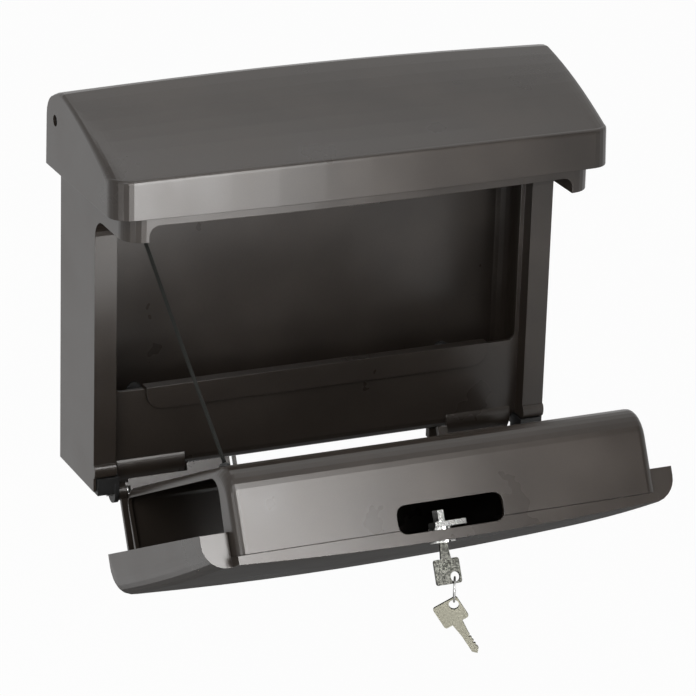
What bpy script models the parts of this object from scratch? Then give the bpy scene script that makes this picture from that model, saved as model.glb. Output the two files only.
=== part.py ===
"""Wall mailbox with a lifting lid, and a drop-down door that holds a newspaper tube and a cam lock.

Frame: X to the right, the front faces -Y, Z up. The wall plane is Y = 0, and the origin is the
middle of the housing's back. Heights below are counted from the housing's bottom edge.
"""
import math

import bmesh
import bpy
from mathutils import Matrix, Vector

# Clearances and shared values
gap = 0.0003                # between pieces that touch
overrun = 0.004             # how far a cutter runs past what it cuts
skin = 0.003                # moulded wall of the lid, door and flanges
arc_steps = 6               # segments of a quarter round on the large forms
round_sides = 28            # sides of a small round piece
origin_height = 0.125       # the origin above the housing's bottom edge

# Housing
lid_side_room = 0.012       # the lid's lower edges stand this far outside the side walls
flange_plane = 0.0735       # wall plane to the front flange
wall = 0.004                # side and back walls
back_fillet = 0.010         # inside corner between the back and side walls
flange_width = 0.0177       # front flange, seen from the front
reveal_depth = 0.012        # from the flange back to the inner frame
reveal_width = 0.0036       # inner frame that shows inside the flange
hood_bottom = 0.2185        # underside of the hood and its corner tabs
arch_radius = 0.0150        # from the flange up into the hood
head_depth = 0.137          # hood's front at its ends
head_bow = 0.0065           # how much further its middle stands out
head_corner = 0.0155        # upright front corners of the hood
rail_bottom = 0.231         # lower edge of the front rail between the tabs
rail_fillet = 0.008         # between the rail and the tabs
head_top = 0.252            # upper edge of the hood
joggle_start = 0.240        # the back wall steps forward above this, clear of the lid's back edge
joggle_rise = 0.017
joggle_depth = 0.011
back_top = 0.286            # upper edge of the back wall
sill_top = 0.0730           # upper edge of the wall that keeps the letters in
sill_round = 0.017          # round corner between floor and sill, inside
lower_reach = 0.030         # the lower front edge turns up over this depth
lower_rise = 0.014          # and by this height
roll_radius = 0.016         # rolled lips before the hinges
roll_depth = 0.0142         # their middle behind the sill's face
roll_height = 0.010         # their middle above the lower edge
roll_turn_deg = 35          # how far they turn under before they run straight
roll_tail_depth = 0.0075    # their lower end behind the sill's face
roll_drop = 0.014           # their lower end below the housing's bottom edge
roll_inner = 0.110          # lip, inner end
roll_inset = 0.023          # lip, outer end inside the side walls
web_width = 0.0085          # foot beside each lip's inner end, under the floor
web_depth = 0.0115          # its front behind the sill's face
web_length = 0.0060
web_drop = 0.0060
bead_height = 0.0160        # middle of the round bead across each flange's lower end
bead_reach = 0.0028
bead_rise = 0.0052
window_corner = 0.005

# Lid
lid_width = 0.400           # across its lower side edges
lid_bottom = 0.239
lid_depth = 0.1447          # front face at its ends
lid_bow = 0.0050            # how much further its middle stands out
lid_corner = 0.015          # upright front corners
lid_edge = 0.0028           # round edge between roof and sides
side_flare = 0.010          # how much the sides lean in for each unit of height
lid_crease = 0.2685         # where the roof meets the front face
crease_round = 0.0035
crease_lift = 0.0020        # crease rises this much to the middle
front_lean = 0.0012         # the front face leans in by this towards the crease
ridge_height = 0.3016
ridge_arch = 0.0046         # ridge rises this much to the middle
ridge_setback = 0.033       # from the wall plane to the ridge
roof_slope_share = 0.58     # slope of the roof at the ridge, as a share of its mean slope
pivot_setback = 0.0192      # lid pivot from the wall plane
pivot_height = 0.2775
lid_back_radius = 0.0185    # the lid's back edge runs round the pivot at this radius
pin_radius = 0.0040
pin_recess = 0.0018         # the pin's end lies this deep in the lid's side
lid_return = 0.0050         # how far the sides turn in behind, under the pivot
lid_lip = 0.0020            # lower edge of the closed back, above the pivot
bumper_setback = 0.094
bumper_length = 0.014
bumper_width = 0.0080

# Letter guard and chute
guard_inset = 0.0456        # guard's ends inside the side walls
guard_height = 0.0182
guard_skin = 0.0028
guard_corner = 0.013
guard_back_leg = 0.008
chute_skin = 0.0025
chute_front_height = 0.2490
chute_back_height = 0.2350
chute_back_edge = 0.0640    # from the wall plane

# Door hinge
hinge_setback = 0.0687
hinge_drop = 0.0046         # hinge axis below the housing's bottom edge
door_angle_deg = 63.5       # how far the door hangs open
hinge_pin_radius = 0.0025
hinge_pin_length = 0.0150
hinge_pin_head = 0.0040
hinge_pin_head_length = 0.0014
ear_radius = 0.0080
ear_thickness = 0.0035
ear_inset = 0.0197          # inner face of the bearing's ear, inside the side walls
block_inset = 0.0024        # outer face of the bearing, inside the side walls
block_top = 0.0110
block_drop = 0.0026         # the bearing block reaches below the housing
block_proud = 0.0030        # and stands before the flange
block_depth = 0.0185
lug_thickness = 0.0065
lug_radius = 0.0066

# Door shell: u runs up the closed door from its hinge, v runs out from the hinge
shell_inset = 0.0005        # the shell's sides inside the side walls
shell_top = 0.2177          # upper edge at its ends
shell_front = 0.0759        # front face at the upper edge
belly_slope = 0.072         # the front swells downwards by this slope
belly_curve = 0.1755        # and turns back by this much per metre squared
shell_bow = 0.0057
shell_corner = 0.017        # upright corners
shell_bottom_round = 0.012
shell_side_back = 0.0461    # side strips begin here
shell_foot_round = 0.020    # lower corners, seen from the front
riser_top = 0.2313          # raised middle of the shell, level with the tube's crest
riser_back = 0.0640
plate_inset = 0.0220        # plate between the bearings, its ends inside the side walls
plate_back = 0.0060         # the plate reaches this far behind the hinge axis
leaf_back = 0.0144          # and its leaves this far, to cover the gap under the sill
leaf_outer = 0.1096
leaf_short_back = 0.0085    # reach of the plate beside the rolled lips
leaf_inner_left = 0.0745
leaf_inner_right = 0.1010
rib_inner = 0.0690          # narrow rib beside the left leaf
rib_width = 0.0025

# Newspaper tube
tube_inset = 0.0224         # the tube's ends inside the side walls
tube_face = 0.0004          # inner face, behind the hinge axis
tube_foot = 0.0090          # lower wall above the hinge axis
tube_foot_round = 0.0105
tube_crest_round = 0.0183
tube_end_round = 0.0070
tube_rim = 0.0070           # rim that is left round the mouth
tube_rim_crest = 0.0165     # wider on the crest side
tube_mouth_round = 0.0120
tube_screw_radius = 0.0019
tube_screw_head = 0.0038
tube_screw_head_height = 0.0018
tube_screw_length = 0.0078
tube_screw_inset_x = 0.0120
boss_radius = 0.0048

# Window and lock
window_half_width = 0.0420
window_back = 0.0459
window_front = 0.0671
lock_side = -0.0030         # lock axis off the middle
lock_height = 0.2158        # lock axis above the hinge, up the door
lock_seat = 0.0740          # flat seat in the door's front
lock_flange_radius = 0.0102
lock_flange_thickness = 0.0012
gasket_thickness = 0.0006
lock_barrel_radius = 0.0089
lock_barrel_end = 0.0653
lock_nut_flats = 0.0240
lock_nut_thickness = 0.0036
plug_radius = 0.0060
spigot_side = 0.0080
thread_radius = 0.0026
cam_thickness = 0.0038
cam_reach = 0.0180
cam_half_width = 0.0065
cam_slant = 0.0060
cam_nut_radius = 0.0047
cam_nut_length = 0.0080
catch_half_width = 0.0120
catch_bottom = 0.2301       # at its front
catch_drop = 0.0028         # its back reaches this much lower
catch_top = 0.2450
catch_depth = 0.0058
catch_screw_radius = 0.0015
catch_screw_head = 0.0028
catch_screw_head_height = 0.0012
catch_screw_spacing = 0.0130
catch_screw_height = 0.2400

# Keys
key_thickness = 0.0021
key_stand_off = 0.0010      # shoulder before the plug's face
key_neck_length = 0.0107
key_neck_half_width = 0.0040
bow_half_width = 0.0100
bow_length = 0.0186
bow_corner = 0.0018
blade_half_width = 0.0028
blade_length = 0.0175
blade_tip = 0.0030
cut_depth_shares = (0.35, 0.70, 0.20, 0.55)
key_hole_radius = 0.0038
key_hole_side = 0.0052      # hole off the key's axis
key_hole_far = 0.0044       # hole past the bow's middle
ring_wire_radius = 0.0007
ring_radius = 0.0090
ring_hang = 0.0012          # wire below the middle of the hole that it hangs in
spare_hang = 0.0027         # middle of the spare key's hole below the wire
ring_turn_deg = 24.5        # turn of the ring's plane about the upright
spare_tilt_deg = 33.3       # the spare key hangs askew, because its hole is off its axis

# Cord that stays the door
cord_radius = 0.0014
cord_top_inset = 0.0200      # cord's upper end inside the side walls
cord_top_setback = 0.1150
cord_top_height = 0.2205
cord_low_inset = 0.0342      # cord's lower end inside the side walls
cord_low_up = 0.2000        # up the door
cord_sag = 0.0030
cord_points = 60
button_radius = 0.0042
button_height = 0.0022
button_taper_share = 0.7    # its top's radius, as a share of its foot's
eye_thickness = 0.0034
eye_radius = 0.0042
eye_back = 0.0060

# Wall holes
hole_spacing_x = 0.260
hole_spacing_z = 0.150
hole_radius = 0.0035
plug_head_radius = 0.0060
plug_head_height = 0.0015

# Colours, as linear values
painted = ("painted_housing", (0.060, 0.048, 0.040), 0.42, 0.35)
black = ("black_plastic", (0.012, 0.012, 0.012), 0.55, 0.0)
rubber = ("black_rubber", (0.010, 0.010, 0.010), 0.85, 0.0)
chrome = ("chrome", (0.72, 0.72, 0.72), 0.12, 1.0)
nickel = ("nickel_silver", (0.50, 0.48, 0.40), 0.35, 1.0)
steel = ("zinc_steel", (0.45, 0.45, 0.45), 0.30, 1.0)
cord_black = ("cord_black", (0.012, 0.012, 0.012), 0.80, 0.0)

# Sizes that follow from those above
lid_half = lid_width / 2
body_half = lid_half - lid_side_room
shell_half = body_half - shell_inset
tube_half_width = body_half - tube_inset
plate_half_width = body_half - plate_inset
guard_half_width = body_half - guard_inset
ear_face = body_half - ear_inset
block_outer = body_half - block_inset
roll_outer = body_half - roll_inset
cord_top_x = body_half - cord_top_inset
cord_low_x = body_half - cord_low_inset
flange_inner = body_half - flange_width
frame_plane = flange_plane - reveal_depth
frame_inner = flange_inner - reveal_width
sill_back = frame_plane - skin
arch_start = hood_bottom - arch_radius
hinge_gap_half = ear_face - 2 * gap
lug_inner = hinge_gap_half - lug_thickness
lock_nut_face = shell_front - skin


def clear_scene():
    for item in list(bpy.data.objects):
        bpy.data.objects.remove(item, do_unlink=True)


def make_collection(name):
    collection = bpy.data.collections.new(name)
    bpy.context.scene.collection.children.link(collection)
    return collection


clear_scene()
parts = make_collection("mailbox")
cutters = make_collection("cutters")
looks = {}


def look(spec):
    name, colour, roughness, metallic = spec
    if name not in looks:
        material = bpy.data.materials.new(name)
        material.use_nodes = True
        shader = material.node_tree.nodes["Principled BSDF"]
        shader.inputs["Base Color"].default_value = (*colour, 1.0)
        shader.inputs["Roughness"].default_value = roughness
        shader.inputs["Metallic"].default_value = metallic
        looks[name] = material
    return looks[name]


def make_empty(name, place, parent=None, turn=(0.0, 0.0, 0.0)):
    empty = bpy.data.objects.new(name, None)
    empty.location = place
    empty.rotation_euler = turn
    empty.parent = parent
    parts.objects.link(empty)
    return empty


def make_object(name, bm, parent, collection):
    bmesh.ops.recalc_face_normals(bm, faces=bm.faces)
    mesh = bpy.data.meshes.new(name)
    bm.to_mesh(mesh)
    bm.free()
    item = bpy.data.objects.new(name, mesh)
    item.parent = parent
    collection.objects.link(item)
    return item


def make_part(name, bm, parent, spec, smooth_deg=35.0):
    """A piece of the mailbox, with its own material slot."""
    item = make_object(name, bm, parent, parts)
    item.data.materials.append(look(spec))
    item.data.shade_smooth()
    item.data.set_sharp_from_angle(angle=math.radians(smooth_deg))
    return item


def apply_tool(item, bm, operation, name):
    """Join a shape to a piece, or cut it out, with the shape kept as a wire guide."""
    tool = make_object(name, bm, item.parent, cutters)
    tool.location = item.location
    tool.hide_render = True
    tool.display_type = "WIRE"
    modifier = item.modifiers.new(name, "BOOLEAN")
    modifier.object = tool
    modifier.operation = operation
    modifier.solver = "EXACT"


def cut(item, bm, name):
    apply_tool(item, bm, "DIFFERENCE", name)


def join(item, bm, name):
    apply_tool(item, bm, "UNION", name)


def box(low, high):
    """A box between two corners."""
    bm = bmesh.new()
    bmesh.ops.create_cube(bm, size=1.0)
    low, high = Vector(low), Vector(high)
    bmesh.ops.scale(bm, vec=high - low, verts=bm.verts)
    bmesh.ops.translate(bm, vec=(low + high) / 2, verts=bm.verts)
    return bm


def axis_turn(axis):
    """The turn that takes a cylinder from Z to the named axis."""
    if axis == "X":
        return Matrix.Rotation(math.radians(90), 3, "Y")
    if axis == "Y":
        return Matrix.Rotation(math.radians(-90), 3, "X")
    return Matrix.Identity(3)


def cylinder(radius, start, length, axis, sides=round_sides, end_radius=None):
    """A cylinder or cone from its start point along an axis."""
    bm = bmesh.new()
    if end_radius is None:
        end_radius = radius
    bmesh.ops.create_cone(bm, cap_ends=True, segments=sides, radius1=radius, radius2=end_radius,
                          depth=length)
    bmesh.ops.translate(bm, vec=(0, 0, length / 2), verts=bm.verts)
    bmesh.ops.rotate(bm, matrix=axis_turn(axis), verts=bm.verts)
    bmesh.ops.translate(bm, vec=start, verts=bm.verts)
    return bm


def prism(outline, axis, low, high):
    """An outline in the plane across an axis, extruded from low to high along it."""
    order = {"X": lambda a, b: (low, a, b), "Y": lambda a, b: (a, low, b), "Z": lambda a, b: (a, b, low)}
    step = {"X": (1, 0, 0), "Y": (0, 1, 0), "Z": (0, 0, 1)}
    bm = bmesh.new()
    face = bm.faces.new([bm.verts.new(order[axis](*point)) for point in outline])
    grown = bmesh.ops.extrude_face_region(bm, geom=[face])
    moved = [item for item in grown["geom"] if isinstance(item, bmesh.types.BMVert)]
    bmesh.ops.translate(bm, vec=Vector(step[axis]) * (high - low), verts=moved)
    return bm


def loft(rings):
    """A solid through rings of equal point counts, closed at both ends."""
    bm = bmesh.new()
    rows = [[bm.verts.new(point) for point in ring] for ring in rings]
    count = len(rows[0])
    for row, following in zip(rows, rows[1:]):
        for i in range(count):
            j = (i + 1) % count
            bm.faces.new((row[i], row[j], following[j], following[i]))
    bm.faces.new(rows[0])
    bm.faces.new(rows[-1])
    return bm


def arc(centre_a, centre_b, radius, start_deg, end_deg, steps=arc_steps):
    """Points of an arc, both ends included."""
    points = []
    for i in range(steps + 1):
        angle = math.radians(start_deg + (end_deg - start_deg) * i / steps)
        points.append((centre_a + radius * math.cos(angle), centre_b + radius * math.sin(angle)))
    return points


def oval(centre_a, centre_b, reach_a, reach_b):
    """A quarter of an ellipse, from straight below its centre to straight before it."""
    points = arc(0.0, 0.0, 1.0, 270, 180)
    return [(centre_a + reach_a * a, centre_b + reach_b * b) for a, b in points]


def rounded(low_a, low_b, high_a, high_b, radius, steps=4):
    """A rectangle with round corners."""
    return (arc(high_a - radius, high_b - radius, radius, 0, 90, steps)
            + arc(low_a + radius, high_b - radius, radius, 90, 180, steps)
            + arc(low_a + radius, low_b + radius, radius, 180, 270, steps)
            + arc(high_a - radius, low_b + radius, radius, 270, 360, steps))


def end_drop(x, half, radius):
    """How far a round end has fallen back at x."""
    past = abs(x) - (half - radius)
    if past <= 0:
        return 0.0
    past = min(past, radius)
    return radius - math.sqrt(radius * radius - past * past)


def stations(half, radius, edge, middle_steps=10):
    """Places along the width, close together in the round ends."""
    turns = [math.radians(90 * i / arc_steps) for i in range(arc_steps + 1)]
    right = [half - radius + radius * math.sin(turn) for turn in turns]
    right += [half - edge + edge * math.sin(math.radians(a)) for a in (22.5, 45.0, 67.5)]
    inner = half - radius
    middle = [-inner + 2 * inner * i / middle_steps for i in range(1, middle_steps)]
    right = sorted(right)
    return [-x for x in reversed(right)] + middle + right


def bowed_front(x, half, depth, bow, corner):
    """Distance from the wall plane of a bowed front with round upright corners."""
    return depth + bow * (1 - (x / half) ** 2) - end_drop(x, half, corner)


def plan_outline(half, depth, bow, corner, back):
    """A plan with a straight back and a bowed front, seen from above."""
    xs = stations(half, corner, corner / 4, 8)
    front = [(x, -bowed_front(x, half, depth, bow, corner)) for x in xs]
    return [(half, -back), (-half, -back)] + front


def roof_height(setback, inset):
    """Height of the lid's roof at its ends, at a distance from the wall plane, past the ridge."""
    top = ridge_height - inset
    low = lid_crease - inset
    along = (setback - ridge_setback) / (lid_depth - inset - front_lean - crease_round - ridge_setback)
    return top - (top - low) * (roof_slope_share * along + (1 - roof_slope_share) * along ** 2)


def lid_ring(x, inset, bottom):
    """Side outline of the lid at one place along its width."""
    half = lid_half - inset
    middle = 1 - (x / half) ** 2
    drop = end_drop(x, half, max(lid_edge - inset, inset / 2))
    front = bowed_front(x, half, lid_depth - inset, lid_bow, lid_corner - inset)
    radius = lid_back_radius - inset
    top = ridge_height + ridge_arch * middle - inset - drop
    low = lid_crease + crease_lift * middle - inset - drop
    outline = [(-pivot_setback + radius, bottom)]
    outline += arc(-pivot_setback, pivot_height, radius, 0, 60, 4)
    start_y, start_z = outline[-1]
    for i in range(1, 5):
        t = i / 4
        y = start_y + (-ridge_setback - start_y) * t
        outline.append((y, start_z + (top - start_z) * (1 - (1 - t) ** 2)))
    roof_steps = 8
    roof_end = front - front_lean - crease_round
    for i in range(1, roof_steps + 1):
        t = i / roof_steps
        y = -(ridge_setback + (roof_end - ridge_setback) * t)
        share = roof_slope_share * t + (1 - roof_slope_share) * t * t
        outline.append((y, top - (top - low) * share))
    begin = Vector(outline[-1])
    corner = Vector((-(front - front_lean), low))
    end = Vector((-(front - front_lean), low - crease_round))
    for i in range(1, 5):
        t = i / 4
        outline.append(tuple(begin * (1 - t) ** 2 + corner * 2 * t * (1 - t) + end * t * t))
    outline.append((-front, bottom))
    points = []
    for y, z in outline:
        lean = 1 - side_flare * (z - lid_bottom) / lid_half
        points.append((x * lean, y, z))
    return points


def make_lid(frame, place):
    """Roof, front and sides in one shell, open below and at the back under its pivot."""
    def shell(inset, bottom):
        xs = stations(lid_half - inset, lid_corner - inset, lid_edge)
        return loft([lid_ring(x, inset, bottom) for x in xs])

    lid = make_part("lid", shell(0.0, lid_bottom), frame, painted, 40.0)
    lid.location = place
    cut(lid, shell(skin, lid_bottom - overrun), "lid_hollow")
    reach = lid_half - skin - lid_return
    low = (-reach, -pivot_setback, lid_bottom - overrun)
    cut(lid, box(low, (reach, overrun, pivot_height + lid_lip)), "lid_back_opening")
    boss_end = body_half + 2 * skin / 3
    side_at_pivot = lid_half - side_flare * (pivot_height - lid_bottom)
    for side in (-1, 1):
        start = (side * boss_end, -pivot_setback, pivot_height)
        length = side * (side_at_pivot - skin / 2 - boss_end)
        join(lid, cylinder(pin_radius + skin, start, length, "X"), "lid_boss")
        start = (side * (boss_end - overrun), -pivot_setback, pivot_height)
        length = side * (lid_half - boss_end + 2 * overrun)
        cut(lid, cylinder(pin_radius + gap, start, length, "X"), "lid_bore")
    return lid


def housing_side():
    """Side outline of the housing: flange, arch, hood, roof line and stepped back wall."""
    clear = skin + pin_radius / 2
    hood_end = head_depth - head_corner - overrun
    outline = [(0.0, 0.0), (-flange_plane, 0.0)]
    outline += arc(-flange_plane - arch_radius, arch_start, arch_radius, 0, 90)
    outline += [(-hood_end, hood_bottom)]
    roof_steps = 6
    for i in range(roof_steps + 1):
        setback = hood_end + (ridge_setback - hood_end) * i / roof_steps
        outline.append((-setback, roof_height(setback, clear)))
    outline += [(-joggle_depth, back_top), (-joggle_depth, joggle_start + joggle_rise), (0.0, joggle_start)]
    return outline


def make_housing(frame):
    """One moulding: back, sides, flanges, hood with its front rail, and the sill."""
    housing = make_part("housing", prism(housing_side(), "X", -body_half, body_half), frame, painted, 40.0)
    head = plan_outline(body_half, head_depth, head_bow, head_corner, flange_plane + arch_radius)
    join(housing, prism(head, "Z", hood_bottom, head_top), "head")

    # Letter compartment
    inner = body_half - wall
    bend = sill_round + wall - gap
    floor = [(-wall, wall)]
    floor += arc(-sill_back + bend, wall + bend, bend, 270, 180)
    floor += [(-sill_back, ridge_height), (-joggle_depth - wall + gap, ridge_height),
              (-joggle_depth - wall + gap, joggle_start + joggle_rise), (-wall, joggle_start)]
    room = prism(floor, "X", -inner, inner)
    upright = [edge for edge in room.edges
               if all(abs(abs(vert.co.x) - inner) < gap for vert in edge.verts)
               and all(abs(vert.co.y + wall) < gap for vert in edge.verts)
               and abs(edge.verts[0].co.z - edge.verts[1].co.z) > wall]
    bmesh.ops.bevel(room, geom=upright, offset=back_fillet, offset_type="OFFSET", segments=4,
                    profile=0.5, affect="EDGES", material=-1)
    cut(housing, room, "letter_room")

    # Hollow flanges and hood
    pocket_inner = flange_inner + skin
    band_radius = arch_radius + skin
    hood_end = head_depth - head_corner - overrun
    pocket_floor = roll_height + skin
    pocket = [(-sill_back + overrun, pocket_floor), (-flange_plane + skin, pocket_floor)]
    pocket += arc(-flange_plane - arch_radius, arch_start, band_radius, 0, 90)
    pocket += [(-hood_end + gap, hood_bottom + skin), (-hood_end + gap, ridge_height),
               (-sill_back + overrun, ridge_height)]
    corner_xs = [x for x in stations(inner, head_corner - wall, overrun / 2, 8) if x > pocket_inner]
    for side in (-1, 1):
        ends = sorted((side * pocket_inner, side * inner))
        cut(housing, prism(pocket, "X", *ends), "flange_pocket")
        plan = [(side * pocket_inner, -hood_end + overrun), (side * inner, -hood_end + overrun)]
        for x in reversed(corner_xs):
            plan.append((side * x, -bowed_front(x, inner, head_depth - skin, head_bow, head_corner - wall)))
        last = bowed_front(pocket_inner, inner, head_depth - skin, head_bow, head_corner - wall)
        plan.append((side * pocket_inner, -last))
        cut(housing, prism(plan, "Z", hood_bottom + skin, head_top + overrun), "hood_pocket")

    # Door opening between the flanges, up through the hood
    channel = [(-flange_inner, -frame_plane), (flange_inner, -frame_plane)]
    steps = 10
    for i in range(steps + 1):
        x = flange_inner - 2 * flange_inner * i / steps
        channel.append((x, -bowed_front(x, body_half, head_depth - skin, head_bow, head_corner)))
    cut(housing, prism(channel, "Z", -overrun, ridge_height), "door_channel")
    rail = [(-flange_inner, hood_bottom - overrun)]
    rail += arc(-flange_inner + rail_fillet, rail_bottom - rail_fillet, rail_fillet, 180, 90, 4)
    rail += arc(flange_inner - rail_fillet, rail_bottom - rail_fillet, rail_fillet, 90, 0, 4)
    rail += [(flange_inner, hood_bottom - overrun)]
    cut(housing, prism(rail, "Y", -head_depth - head_bow - overrun, -hood_end), "under_rail")
    opening = rounded(-frame_inner, sill_top, frame_inner, ridge_height + back_fillet, window_corner)
    cut(housing, prism(opening, "Y", -frame_plane - overrun, -sill_back + overrun), "letter_window")

    # Lower front edge turned up, with a rolled lip before each hinge
    under = [(-frame_plane + lower_reach, -overrun)]
    under += oval(-frame_plane + lower_reach, lower_rise, lower_reach, lower_rise)
    under += [(-frame_plane - overrun, lower_rise), (-frame_plane - overrun, -overrun)]
    cut(housing, prism(under, "X", -flange_inner, flange_inner), "lower_edge")
    middle = -frame_plane + roll_depth
    start_deg = math.degrees(math.acos(-roll_depth / roll_radius))
    lip = arc(middle, roll_height, roll_radius, start_deg, 180 + roll_turn_deg, 10)
    lip.append((-frame_plane + roll_tail_depth, -roll_drop))
    turn = math.radians(roll_turn_deg)
    back = (skin * math.cos(turn), skin * math.sin(turn))
    lip.append((lip[-1][0] + back[0], lip[-1][1] + back[1]))
    lip += arc(middle, roll_height, roll_radius - skin, 180 + roll_turn_deg, start_deg, 10)
    for side in (-1, 1):
        join(housing, prism(lip, "X", *sorted((side * roll_inner, side * roll_outer))), "rolled_lip")
        near, far = sorted((side * (roll_inner - web_width), side * (roll_inner + skin)))
        low = (near, -frame_plane + web_depth, -web_drop)
        high = (far, -frame_plane + web_depth + web_length, wall / 2)
        join(housing, box(low, high), "lip_foot")

    # Seats of the hinge bearings, under a round bead
    bead = [(-flange_plane + bead_reach * a, bead_height + bead_rise * b)
            for a, b in arc(0.0, 0.0, 1.0, 90, 270, 10)]
    bead += [(-flange_plane + wall / 2, bead_height - bead_rise),
             (-flange_plane + wall / 2, bead_height + bead_rise)]
    seat_back = flange_plane + block_proud - block_depth - gap
    for side in (-1, 1):
        join(housing, prism(bead, "X", *sorted((side * flange_inner, side * body_half))), "flange_bead")
        ends = sorted((side * (ear_face - gap), side * (block_outer + gap)))
        low = (ends[0], -flange_plane - overrun, -overrun)
        cut(housing, box(low, (ends[1], -seat_back, block_top)), "bearing_seat")
        start = (side * (body_half - wall - pin_radius), -pivot_setback, pivot_height)
        boss = cylinder(pin_radius + skin, start, side * (pin_radius + wall / 2), "X")
        join(housing, boss, "lid_pin_boss")
        start = (side * (body_half - wall - 2 * pin_radius), -pivot_setback, pivot_height)
        cut(housing, cylinder(pin_radius + gap, start, side * (wall + 3 * pin_radius), "X"), "lid_pin_bore")

    # Wall holes
    for side_x in (-1, 1):
        for side_z in (-1, 1):
            z = origin_height + side_z * hole_spacing_z / 2
            start = (side_x * hole_spacing_x / 2, -wall - overrun, z)
            cut(housing, cylinder(hole_radius, start, wall + 2 * overrun, "Y", 16), "wall_hole")
    return housing


def make_lid_pins(frame):
    """Two short pins carry the lid on the housing's sides."""
    side_at_pivot = lid_half - side_flare * (pivot_height - lid_bottom)
    start = body_half - wall - pin_radius
    length = side_at_pivot - pin_recess - start
    for side, name in ((-1, "lid_pin_left"), (1, "lid_pin_right")):
        bm = cylinder(pin_radius, (side * start, -pivot_setback, pivot_height), side * length, "X")
        make_part(name, bm, frame, black)


def make_bumpers(frame):
    """Rubber strips on the housing's side walls, on which the lid's roof rests."""
    near = bumper_setback - bumper_length / 2
    far = bumper_setback + bumper_length / 2
    seat = skin + pin_radius / 2 - gap
    outline = [(-near, roof_height(near, seat)), (-far, roof_height(far, seat)),
               (-far, roof_height(far, skin + gap)), (-near, roof_height(near, skin + gap))]
    middle = body_half - wall / 2
    for side, name in ((-1, "lid_bumper_left"), (1, "lid_bumper_right")):
        ends = sorted((side * (middle - bumper_width / 2), side * (middle + bumper_width / 2)))
        make_part(name, prism(outline, "X", *ends), frame, rubber)


def make_guard(frame):
    """A clip over the sill keeps letters from sliding out."""
    low = sill_top + gap + guard_skin / 2 - guard_height
    top = sill_top + gap + guard_skin / 2
    outline = [(guard_half_width, top), (-guard_half_width, top)]
    outline += arc(-guard_half_width + guard_corner, low + guard_corner, guard_corner, 180, 270)
    outline += arc(guard_half_width - guard_corner, low + guard_corner, guard_corner, 270, 360)
    front = frame_plane + gap
    guard = make_part("letter_guard", prism(outline, "Y", -front - guard_skin, -front), frame, painted)
    leg = sill_back - gap - guard_skin
    edge = (-guard_half_width, -front - guard_skin / 2, sill_top + gap)
    join(guard, box(edge, (guard_half_width, -leg, top)), "guard_top")
    edge = (-guard_half_width, -leg - guard_skin, top - guard_back_leg)
    join(guard, box(edge, (guard_half_width, -leg, top - gap)), "guard_back_leg")


def make_chute(frame):
    """A sloping plate under the lid leads letters from the hood's edge to the back."""
    reach = flange_inner - gap
    front = head_depth - skin - gap
    outline = [(-reach, -chute_back_edge), (reach, -chute_back_edge)]
    steps = 10
    for i in range(steps + 1):
        x = reach - 2 * reach * i / steps
        outline.append((x, -bowed_front(x, body_half, front, head_bow, head_corner)))
    bm = prism(outline, "Z", 0.0, chute_skin)
    rise = (chute_front_height - chute_back_height) / (head_depth - chute_back_edge)
    for vert in bm.verts:
        vert.co.z += chute_back_height + rise * (-vert.co.y - chute_back_edge)
    chute = make_part("letter_chute", bm, frame, painted)
    lip = 2 * chute_skin
    low = (-reach, -chute_back_edge - chute_skin, chute_back_height - lip)
    join(chute, box(low, (reach, -chute_back_edge, chute_back_height + chute_skin / 2)), "chute_lip")


def make_bearings(frame):
    """Bearings under the flanges, and the pins that they hold."""
    front = flange_plane + block_proud
    for side, end in ((-1, "left"), (1, "right")):
        low_x, high_x = sorted((side * ear_face, side * block_outer))
        low = (low_x, -front, -block_drop)
        block = box(low, (high_x, -front + block_depth, block_top - gap))
        bearing = make_part("door_bearing_" + end, block, frame, black)
        ear = arc(-hinge_setback, -hinge_drop, ear_radius, 180, 360, 10)
        ear += [(-hinge_setback + ear_radius, block_top / 2), (-hinge_setback - ear_radius, block_top / 2)]
        ends = sorted((side * ear_face, side * (ear_face + ear_thickness)))
        join(bearing, prism(ear, "X", *ends), "ear")
        pin_start = lug_inner - gap
        start = (side * (ear_face - overrun), -hinge_setback, -hinge_drop)
        bore_length = pin_start + hinge_pin_length - ear_face + overrun + gap
        cut(bearing, cylinder(hinge_pin_radius + gap, start, side * bore_length, "X", 20), "hinge_bore")

        start = (side * pin_start, -hinge_setback, -hinge_drop)
        pin = make_part("door_pin_" + end,
                        cylinder(hinge_pin_radius, start, side * hinge_pin_length, "X", 20), frame, steel)
        start = (side * (pin_start - hinge_pin_head_length), -hinge_setback, -hinge_drop)
        head = cylinder(hinge_pin_head, start, side * (hinge_pin_head_length + gap / 3), "X", 20)
        join(pin, head, "pin_head")


def front_v(up, x):
    """How far the door's front face stands out, at a height up the door."""
    down = shell_top - up
    return shell_front + belly_slope * down - belly_curve * down ** 2 - shell_bow * (x / shell_half) ** 2


def shell_ring(x, inset):
    """Outline of the door's wide shell at one place along its width."""
    half = shell_half - inset
    back_edge = shell_side_back if inset == 0 else shell_side_back - overrun
    low = inset + end_drop(x, half, shell_foot_round - inset)
    top = shell_top - inset
    pull = inset + end_drop(x, half, shell_corner - inset)
    radius = shell_bottom_round - inset
    points = [(x, -back_edge, top), (x, -back_edge, low)]
    foot_v = front_v(low + radius, x) - pull
    for a, b in arc(foot_v - radius, low + radius, radius, 270, 360, 5):
        points.append((x, -a, b))
    steps = 7
    start = low + radius
    for i in range(1, steps + 1):
        up = start + (top - start) * i / steps
        points.append((x, -(front_v(up, x) - pull), up))
    return points


def riser_ring(x, inset):
    """Outline of the shell's raised middle."""
    back_edge = riser_back if inset == 0 else riser_back - overrun
    low = shell_top - skin / 2 if inset == 0 else shell_top - skin - overrun
    top = riser_top - inset
    points = [(x, -back_edge, top), (x, -back_edge, low)]
    steps = 4
    for i in range(steps + 1):
        up = low + (top - low) * i / steps
        points.append((x, -(front_v(up, x) - inset), up))
    return points


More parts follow.
